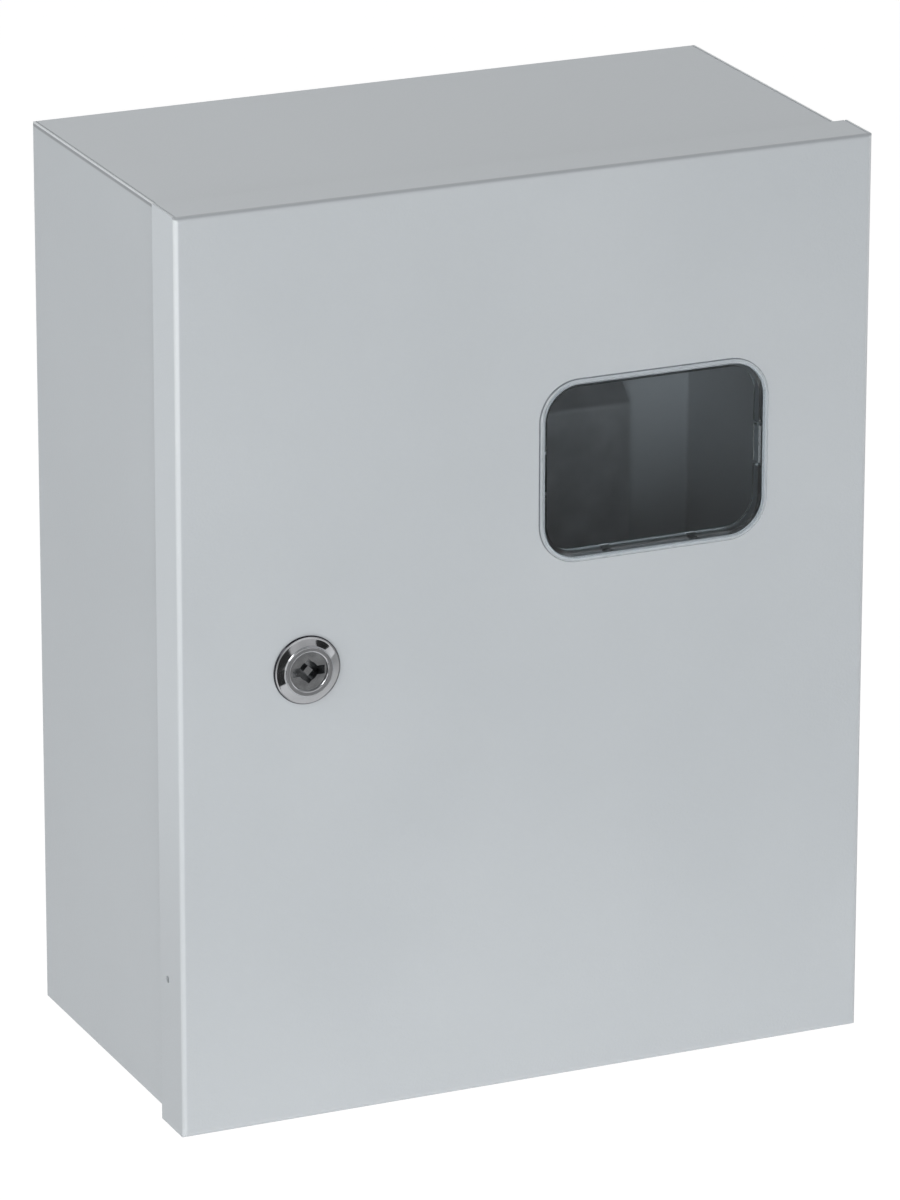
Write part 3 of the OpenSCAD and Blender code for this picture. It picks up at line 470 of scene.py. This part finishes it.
def zinc_finish(name, colour, other, squeeze, relief_depth):
    """Zinc plating whose lines run along the axis that the squeeze leaves small."""
    material, shader = new_material(name, colour, 0.4, 0.85)
    place = object_place(material)
    uneven_tone(material, shader, place, 45.0, colour, other)
    streak = add_effect(material, lines, place, Squeeze=squeeze, Lines_per_metre=700.0)
    add_relief(material, shader, streak.outputs["Lines"], relief_depth)
    vary_roughness(material, shader, streak.outputs["Lines"], 0.3, 0.55)
    return material


plate_zinc = zinc_finish("plate_zinc", (0.44, 0.455, 0.47), (0.64, 0.655, 0.67), (1.0, 1.0, 0.04), 0.00004)
small_zinc = zinc_finish("small_zinc", (0.60, 0.61, 0.62), (0.68, 0.69, 0.70), (1.0, 1.0, 1.0), 0.00002)
finish_nodes(plate_zinc, "mounting_plate")
finish_nodes(small_zinc, "plate_studs", "plate_washers", "plate_nuts", "device_rail", "rail_screws",
    "rail_nuts", "neutral_bar_screws", "earth_bar_feet", "earth_bar_screws", "bar_fixing_screws",
    "bar_fixing_nuts", "body_earth_stud", "body_earth_washer", "body_earth_nut", "upper_frame_hinge",
    "lower_frame_hinge", "hinge_screws", "hinge_nuts", "upper_door_hinge", "lower_door_hinge",
    "door_earth_stud", "door_earth_washer", "door_earth_nut", "lock_washer", "lock_nut", "lock_cam",
    "cam_washer", "cam_screw")


# ---------------------------------------------------------------- terminal bars
# Drawn brass bars for the neutral and earth wires, drilled through for the wires, with a row of clamp
# screws. The neutral bar stands on blue moulded feet, the earth bar on zinc plated ones.

brass, shader = new_material("drawn_brass", (0.72, 0.52, 0.22), 0.32, 1.0)
place = object_place(brass)
uneven_tone(brass, shader, place, 80.0, (0.70, 0.50, 0.21), (0.80, 0.60, 0.28))
streak = add_effect(brass, lines, place, Squeeze=(0.05, 1.0, 1.0), Lines_per_metre=2500.0)
vary_roughness(brass, shader, streak.outputs["Lines"], 0.22, 0.42)
add_relief(brass, shader, streak.outputs["Lines"], 0.00002)
finish_nodes(brass, "neutral_bar", "earth_bar")

blue_plastic, shader = new_material("blue_moulding", (0.02, 0.10, 0.42), 0.42)
place = object_place(blue_plastic)
uneven_tone(blue_plastic, shader, place, 60.0, (0.018, 0.09, 0.38), (0.03, 0.13, 0.48))
skin = add_effect(blue_plastic, pebble, place, Grains_per_metre=4000.0, Swell_share=0.2)
add_relief(blue_plastic, shader, skin.outputs["Height"], 0.00004)
finish_nodes(blue_plastic, "neutral_bar_feet")


# ---------------------------------------------------------------- window moulding
# Clear polycarbonate, moulded in one piece: rim, pane, skirt and snap hooks. The rim's slope is
# lightly frosted, with a whiter tint that is partly a painted highlight, and a painted shade line at its
# outer edge. Light reaches the inside through the moulding, so for shadow and diffuse rays the shader is
# plain transparency.

clear_plastic, shader = new_material("clear_moulding", (0.93, 0.95, 0.96), 0.04)
shader.inputs["IOR"].default_value = 1.5
shader.inputs["Transmission Weight"].default_value = 1.0
place = object_place(clear_plastic)
skin = add_effect(clear_plastic, pebble, place, Grains_per_metre=60.0, Swell_share=0.5)
add_relief(clear_plastic, shader, skin.outputs["Height"], 0.000004)
tree = clear_plastic.node_tree
low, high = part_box("window_moulding")
centre = ((low[0] + high[0]) / 2, (low[2] + high[2]) / 2)
rim_corner_r = 17.5 * MM
outside = aside(clear_plastic, place, centre, (high[0] - low[0]) / 2, (high[2] - low[2]) / 2, rim_corner_r)
_, y, _ = coordinates(clear_plastic, place)
in_front = span(clear_plastic, reckon(clear_plastic, "MULTIPLY", y, -1.0), door_face, door_face + 0.2 * MM)
rim_band = span(clear_plastic, outside, -1.75 * MM, -1.55 * MM)
rim_shade_span = span(clear_plastic, outside, -0.4 * MM, -0.25 * MM)
step_line = reckon(clear_plastic, "SUBTRACT", span(clear_plastic, outside, -3.9 * MM, -3.75 * MM),
    span(clear_plastic, outside, -3.5 * MM, -3.35 * MM))
frost_and_highlight = reckon(clear_plastic, "MULTIPLY", in_front,
    reckon(clear_plastic, "MAXIMUM", rim_band, reckon(clear_plastic, "MULTIPLY", step_line, 0.35)))
vary_roughness(clear_plastic, shader, frost_and_highlight, 0.04, 0.3)
painted_edge_shade = reckon(clear_plastic, "MULTIPLY", in_front, rim_shade_span)
# The frosted band is rougher, and its whiter tint is partly a painted highlight.
colour = tone_where(clear_plastic, frost_and_highlight, (0.89, 0.95, 0.98), (1.0, 1.0, 0.99))
# Painted shade: a near-black line along the rim's outer edge.
colour = tone_where(clear_plastic, painted_edge_shade, colour, (0.10, 0.11, 0.12))
tree.links.new(colour, shader.inputs["Base Color"])
ray = tree.nodes.new("ShaderNodeLightPath")
either = tree.nodes.new("ShaderNodeMath")
either.operation = "MAXIMUM"
see_through = tree.nodes.new("ShaderNodeBsdfTransparent")
see_through.inputs["Color"].default_value = (0.95, 0.96, 0.97, 1)
by_ray = tree.nodes.new("ShaderNodeMixShader")
tree.links.new(ray.outputs["Is Shadow Ray"], either.inputs[0])
tree.links.new(ray.outputs["Is Diffuse Ray"], either.inputs[1])
tree.links.new(either.outputs[0], by_ray.inputs["Fac"])
tree.links.new(shader.outputs["BSDF"], by_ray.inputs[1])
tree.links.new(see_through.outputs["BSDF"], by_ray.inputs[2])
tree.links.new(by_ray.outputs["Shader"], tree.nodes["Material Output"].inputs["Surface"])
finish_nodes(clear_plastic, "window_moulding")


# ---------------------------------------------------------------- lock
# A zinc casting with bright chrome plating, with painted shade round the bezel's outer edge where it meets
# the door, and a nickel plated core that turns in it. The hinge pins are drawn steel.

chrome, shader = new_material("lock_chrome", (0.57, 0.58, 0.60), 0.1, 1.0)
place = object_place(chrome)
tone = uneven_tone(chrome, shader, place, 150.0, (0.53, 0.54, 0.56), (0.61, 0.62, 0.64))
low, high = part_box("lock_housing")
edge_r = (high[0] - low[0]) / 2
from_axis = aside(chrome, place, ((low[0] + high[0]) / 2, (low[2] + high[2]) / 2))
painted_edge_shade = span(chrome, from_axis, edge_r - 0.55 * MM, edge_r - 0.35 * MM)
# Painted shade: dark base colour round the bezel's outer edge.
colour = tone_where(chrome, painted_edge_shade, tone.outputs["Tone"], (0.06, 0.06, 0.07))
chrome.node_tree.links.new(colour, shader.inputs["Base Color"])
vary_roughness(chrome, shader, tone.outputs["Mask"], 0.06, 0.16)
finish_nodes(chrome, "lock_housing")

core_steel, shader = new_material("lock_nickel", (0.42, 0.43, 0.44), 0.2, 1.0)
place = object_place(core_steel)
tone = uneven_tone(core_steel, shader, place, 300.0, (0.36, 0.37, 0.38), (0.50, 0.51, 0.52))
vary_roughness(core_steel, shader, tone.outputs["Mask"], 0.12, 0.26)
finish_nodes(core_steel, "lock_core")

pin_steel, shader = new_material("drawn_steel", (0.58, 0.58, 0.59), 0.3, 1.0)
place = object_place(pin_steel)
streak = add_effect(pin_steel, lines, place, Squeeze=(1.0, 1.0, 0.05), Lines_per_metre=3000.0)
vary_roughness(pin_steel, shader, streak.outputs["Lines"], 0.2, 0.4)
finish_nodes(pin_steel, "upper_hinge_pin", "lower_hinge_pin")


# ---------------------------------------------------------------- turned and threaded pieces
# Studs with rolled threads, and hexagon nuts with turned faces: the construction has plain rods and
# prisms in their places. A turned piece is a profile carried round its axis.

TO_DOOR = np.array([[1, 0, 0], [0, 0, 1], [0, -1, 0]])
TO_WALL = np.array([[1, 0, 0], [0, 0, -1], [0, 1, 0]])
TO_RIGHT = np.array([[0, 0, 1], [0, -1, 0], [1, 0, 0]])


def turned_grid(profile, start, axis, columns, shape=None):
    """Points of a profile of (radius, distance) turned about the axis that leaves start. The axis is
    a matrix of three unit rows whose last one points along it. shape(radius, angle, distance) may
    give each point another radius."""
    angle = np.linspace(0, 2 * math.pi, columns, endpoint=False)[None]
    radius, along = profile[:, :1], profile[:, 1:]
    if shape:
        radius = shape(radius, angle, along)
    local = np.stack(np.broadcast_arrays(radius * np.cos(angle), radius * np.sin(angle), along), axis=-1)
    return local @ axis + np.array(start)


def thread(full_r, pitch, low, high):
    """Radius of a right hand thread between two distances: the full radius less 0.6 pitch times
    1.3 * |2 * frac(distance / pitch - angle / 2 pi) - 1| - 0.15, kept between 0 and 1."""
    def shape(radius, angle, along):
        phase = (along / pitch - angle / (2 * math.pi)) % 1
        wave = np.clip(1.3 * np.abs(2 * phase - 1) - 0.15, 0, 1)
        fade = np.clip((along - low) / pitch, 0, 1) * np.clip((high - along) / pitch, 0, 1)
        return radius - np.where(radius > 0.99 * full_r, 0.6 * pitch * wave * fade, 0)
    return shape


def threaded_side(full_r, pitch, low, high):
    """Profile rows of a threaded side, eight to each turn of the thread."""
    along = np.linspace(low, high, int((high - low) / pitch * 8))
    return np.stack([np.full(len(along), full_r), along], axis=1)


def stud(name, start, axis, full_r, length, pitch, body):
    """A threaded stud whose foot is at start, with a chamfer at its tip."""
    chamfer = 0.6 * MM
    side = threaded_side(full_r, pitch, 0, length - chamfer)
    profile = np.vstack([[[0, 0]], side, [[full_r - chamfer, length], [0, length]]])
    grid = turned_grid(profile, start, axis, 32, thread(full_r, pitch, 2 * pitch, length - chamfer))
    piece = mesh_piece(name, grid, body, small_zinc, closed_v=True, sharp_from=40)
    return piece


def hex_nut(name, start, axis, across, bore_r, height, body):
    """A nut that stands from start along the axis. A cone of 30 degrees trims its corners at both
    faces, so its side starts (distance to the edge - face_r) * tan 30 behind each."""
    flat, edge, columns = across / 2, 0.3 * MM, 72
    face_r = 0.97 * flat
    angle = np.linspace(0, 2 * math.pi, columns, endpoint=False)
    to_edge = flat / np.cos(angle % (math.pi / 3) - math.pi / 6)
    trim = (to_edge - face_r) * math.tan(math.pi / 6)
    profile = np.array([[bore_r, edge], [bore_r + edge, 0], [face_r, 0], [0, 0], [0, height],
        [face_r, height], [bore_r + edge, height], [bore_r, height - edge]])
    grid = turned_grid(profile, (0, 0, 0), np.eye(3), columns)
    for row, drop in ((3, trim), (4, height - trim)):
        grid[row] = np.stack([to_edge * np.cos(angle), to_edge * np.sin(angle), drop], axis=-1)
    piece = mesh_piece(name, grid @ axis + np.array(start), body, small_zinc,
        closed_u=True, closed_v=True, sharp_from=20)
    return piece


def four_places(node, from_side, from_end):
    """X and Z of the four places that lie inside the corners of a node's box."""
    low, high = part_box(node)
    return [(x, z) for x in (low[0] + from_side, high[0] - from_side)
        for z in (low[2] + from_end, high[2] - from_end)]


stud_r, stud_pitch = 3 * MM, 1 * MM
nut_across, nut_bore_r = 10 * MM, 3.05 * MM
low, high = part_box("plate_studs")
for i, (x, z) in enumerate(four_places("plate_studs", stud_r, stud_r)):
    piece = stud(f"plate_stud_{i + 1}", (x, high[1], z), TO_DOOR, stud_r, high[1] - low[1],
        stud_pitch, "cabinet")
    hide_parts("plate_studs")
low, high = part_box("plate_nuts")
for i, (x, z) in enumerate(four_places("plate_nuts", nut_across / math.sqrt(3), nut_across / 2)):
    piece = hex_nut(f"plate_nut_{i + 1}", (x, high[1], z), TO_DOOR, nut_across, nut_bore_r,
        high[1] - low[1], "cabinet")
    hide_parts("plate_nuts")
for name, axis, body, foot in (("body_earth", TO_RIGHT, "cabinet", 0), ("door_earth", TO_WALL, "door", 1)):
    low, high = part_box(name + "_stud")
    middle = [(a + b) / 2 for a, b in zip(low, high)]
    middle[foot] = low[foot]
    piece = stud(name + "_threaded", middle, axis, stud_r, high[foot] - low[foot], stud_pitch, body)
    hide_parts(name + "_stud")
    low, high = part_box(name + "_nut")
    middle[foot] = low[foot]
    piece = hex_nut(name + "_hex_nut", middle, axis, nut_across, nut_bore_r, high[foot] - low[foot], body)
    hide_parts(name + "_nut")

# The lock's housing: a bezel with a sloping face and a raised ring, and a threaded barrel with two
# flats, which its large nut clamps in the door.
low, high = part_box("lock_housing")
lock_x, lock_z = (low[0] + high[0]) / 2, (low[2] + high[2]) / 2
bezel_r, bezel_rise = (high[0] - low[0]) / 2, 3.1 * MM
door_front = low[1] + bezel_rise
barrel_r, barrel_flat, barrel_pitch = 11 * MM, 9.8 * MM, 1.5 * MM
barrel_l = high[1] - door_front
core_bore_r, neck_bore_r, core_step = 8.2 * MM, 6.05 * MM, 10.1 * MM


def rounded(points, radius, steps=6):
    """A chain of points with each inner corner turned into an arc, or into a smaller one where the
    stretches beside it are short."""
    points = [np.array(point) for point in points]
    chain = [points[0]]
    for before, corner, after in zip(points, points[1:], points[2:]):
        back, on = before - corner, after - corner
        reach = min(radius, 0.45 * np.linalg.norm(back), 0.45 * np.linalg.norm(on))
        first, last = corner + back / np.linalg.norm(back) * reach, corner + on / np.linalg.norm(on) * reach
        t = np.linspace(0, 1, steps)[:, None]
        chain.extend((1 - t) ** 2 * first + 2 * t * (1 - t) * corner + t ** 2 * last)
    chain.append(points[-1])
    return np.array(chain)


def housing_grid():
    """The bezel's rounded profile and the barrel's thread. Behind the door's front the barrel is cut
    to its flats, by a limit on how far it reaches to each side."""
    bezel = rounded([(core_bore_r, core_step), (core_bore_r, 0.4 * MM - bezel_rise),
        (core_bore_r + 0.5 * MM, -bezel_rise), (bezel_r - 4.4 * MM, -bezel_rise),
        (bezel_r - 4.1 * MM, -2.9 * MM), (bezel_r - 3.9 * MM, -2.5 * MM), (bezel_r - 1.1 * MM, -1.0 * MM),
        (bezel_r - 0.3 * MM, -0.9 * MM), (bezel_r, -0.5 * MM), (bezel_r, 0)], 0.35 * MM)
    chamfer = 0.6 * MM
    side = threaded_side(barrel_r, barrel_pitch, 0, barrel_l - chamfer)
    end = [(barrel_r - chamfer, barrel_l), (neck_bore_r, barrel_l), (neck_bore_r, core_step)]
    profile = np.vstack([bezel, side, end])
    shape = thread(barrel_r, barrel_pitch, 3 * MM, barrel_l - chamfer)

    def thread_behind_door(radius, angle, along):
        return np.where((along > 0) & (radius < 1.01 * barrel_r), shape(radius, angle, along), radius)
    grid = turned_grid(profile, (0, 0, 0), np.eye(3), 144, thread_behind_door)
    behind = profile[:, 1] > 0.5 * MM
    grid[behind, :, 0] = np.clip(grid[behind, :, 0], -barrel_flat, barrel_flat)
    return grid @ TO_WALL + np.array([lock_x, door_front, lock_z])


housing = mesh_piece("lock_bezel_and_barrel", housing_grid(), "door", chrome,
    closed_u=True, closed_v=True, sharp_from=35)
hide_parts("lock_housing")
low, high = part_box("lock_nut")
lock_nut_across, lock_nut_bore_r = 27 * MM, 11.05 * MM
big_nut = hex_nut("lock_hex_nut", (lock_x, low[1], lock_z), TO_WALL, lock_nut_across, lock_nut_bore_r,
    high[1] - low[1], "door")
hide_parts("lock_nut")


# ---------------------------------------------------------------- door seal
# Foam strip with a closed skin, glued in a loop on the door's inner face. Its top is rounded, and the
# body's lip has pressed a shallow groove along it.

foam, shader = new_material("foam_skin", (0.03, 0.031, 0.033), 0.75)
place = object_place(foam)
uneven_tone(foam, shader, place, 70.0, (0.026, 0.027, 0.029), (0.045, 0.046, 0.05))
skin = add_effect(foam, pebble, place, Grains_per_metre=1800.0, Swell_share=0.3)
add_relief(foam, shader, skin.outputs["Height"], 0.0004)

seal_low, seal_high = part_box("door_seal")
seal_w = 10 * MM
seal_corner_r = 17 * MM
seal_step = 2.5 * MM
groove_depth, groove_w = 0.10, 0.28


def loop_path(half_w, half_h, radius, step):
    """Points along a rectangle with round corners, about step apart, and the outward normal at each.
    It runs along each side and then round its corner."""
    points, normals = [], []
    for quarter in range(4):
        turn = math.pi / 2 * quarter
        out = np.array([math.cos(turn), math.sin(turn)])
        along = np.array([-out[1], out[0]])
        reach, span = (half_w, half_h) if quarter % 2 == 0 else (half_h, half_w)
        straight = np.linspace(-(span - radius), span - radius, int(2 * (span - radius) / step))[:, None]
        points.append(out * reach + along * straight)
        normals.append(np.repeat(out[None], len(straight), axis=0))
        angle = np.linspace(0, math.pi / 2, int(radius * math.pi / 2 / step) + 2)[1:-1, None]
        rays = out * np.cos(angle) + along * np.sin(angle)
        points.append(out * (reach - radius) + along * (span - radius) + rays * radius)
        normals.append(rays)
    return np.vstack(points), np.vstack(normals)


def foam_strip():
    """The profile, a flattened half round with a groove at its top, carried along the loop. Across it
    runs from -1 to 1, and the height is (1 - across^4)^0.5, less a bell shaped groove. Along the loop
    the height ripples by a hundredth, as sin(0.9 n) * sin(0.23 n) at the n-th point."""
    centre_x = (seal_low[0] + seal_high[0]) / 2
    centre_z = (seal_low[2] + seal_high[2]) / 2
    path, normal = loop_path((seal_high[0] - seal_low[0] - seal_w) / 2,
        (seal_high[2] - seal_low[2] - seal_w) / 2, seal_corner_r, seal_step)
    across = np.sin(np.linspace(-1, 1, 17) * math.pi / 2)
    groove = groove_depth * np.exp(-(across / groove_w) ** 2)
    height = np.sqrt(np.clip(1 - across ** 4, 0, 1)) - groove
    count = np.arange(len(path))[:, None]
    ripple = 1 + 0.010 * np.sin(count * 0.9) * np.sin(count * 0.23)
    offset = across[None] * seal_w / 2 * 0.97
    x = centre_x + path[:, :1] + normal[:, :1] * offset
    z = centre_z + path[:, 1:] + normal[:, 1:] * offset
    y = seal_low[1] + (seal_high[1] - seal_low[1]) * height[None] * ripple / ripple.max()
    top = np.stack([x, np.broadcast_to(y, x.shape), z], axis=-1)
    base = top[:, ::-1][:, 1:-1].copy()
    base[..., 1] = seal_low[1]
    return np.concatenate([top, base], axis=1)


seal = mesh_piece("foam_seal", foam_strip(), "door", foam, closed_u=True, closed_v=True)
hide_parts("door_seal")


# ---------------------------------------------------------------- cable entries
# Moulded rubber grommets, pushed into round holes in the bottom. A groove grips the sheet, and a
# ringed cone narrows to the cable.

rubber, shader = new_material("grommet_rubber", (0.02, 0.02, 0.021), 0.55)
place = object_place(rubber)
uneven_tone(rubber, shader, place, 120.0, (0.016, 0.016, 0.017), (0.03, 0.03, 0.031))
skin = add_effect(rubber, pebble, place, Grains_per_metre=3000.0, Swell_share=0.2)
add_relief(rubber, shader, skin.outputs["Height"], 0.0001)

entries = [mount for mount in frame["record"]["mounts"] if mount["name"].endswith("cable_entry")]
grommet_low, grommet_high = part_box("cable_grommets")
flange_r = (grommet_high[1] - grommet_low[1]) / 2
bore_r = entries[0]["dims"]["r_mm"] * MM
sheet = 1.2 * MM


def grommet_profile():
    """Radius and height of the grommet's section, from the outer flange up the outside and down the
    inside. The cone's outside has three rings, as radius + 0.35 mm * |sin|."""
    top = grommet_high[2] - grommet_low[2]
    groove = flange_r - 4 * MM
    sheet_low = 2 * MM
    sheet_top = sheet_low + sheet
    collar_r = flange_r - 0.6 * MM
    collar_top = sheet_top + 0.6 * MM
    bulge = np.linspace(0, math.pi / 2, 6)
    flange = [(flange_r - MM + MM * math.sin(a), MM - MM * math.cos(a)) for a in bulge]
    collar = [(flange_r, sheet_low), (groove, sheet_low), (groove, sheet_top),
        (collar_r, sheet_top), (collar_r, collar_top)]
    rise = np.linspace(0, 1, 25)
    cone_low, cone_h = sheet_top + 2 * MM, 7 * MM
    cone_r = groove - 0.6 * MM + (bore_r + 1.6 * MM - groove + 0.6 * MM) * rise
    rings = 0.35 * MM * np.abs(np.sin(rise * 3 * math.pi))
    cone = list(zip(cone_r + rings, cone_low + cone_h * rise))
    lip = [(bore_r + 1.6 * MM, top - 0.8 * MM), (bore_r + 1.1 * MM, top - 0.2 * MM),
        (bore_r + 0.5 * MM, top), (bore_r, top - 0.4 * MM), (bore_r, cone_low + cone_h)]
    inside = [(groove - 3 * MM, collar_top), (groove - 3 * MM, 0.3 * MM), (groove - 2.7 * MM, 0)]
    return np.array(flange + collar + cone + lip + inside)


for entry in entries:
    x, y, z = entry["pos_m"]
    name = entry["name"].replace("cable_entry", "grommet")
    grid = turned_grid(grommet_profile(), (x, y, grommet_low[2]), np.eye(3), 72)
    piece = mesh_piece(name, grid, "cabinet", rubber, closed_u=True, closed_v=True)
    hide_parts("cable_grommets")


# The square boxes in front would burn out the lock's polished faces, so these leave the lock out.
lock_faces = bpy.data.collections.new("lock_faces")
for piece in (housing, nodes["lock_core"]):
    lock_faces.objects.link(piece)
for item in lock_faces.collection_objects:
    item.light_linking.link_state = "EXCLUDE"
for name in ("near_camera_box", "right_box", "low_box", "low_left_box"):
    bpy.data.objects[name].light_linking.receiver_collection = lock_faces
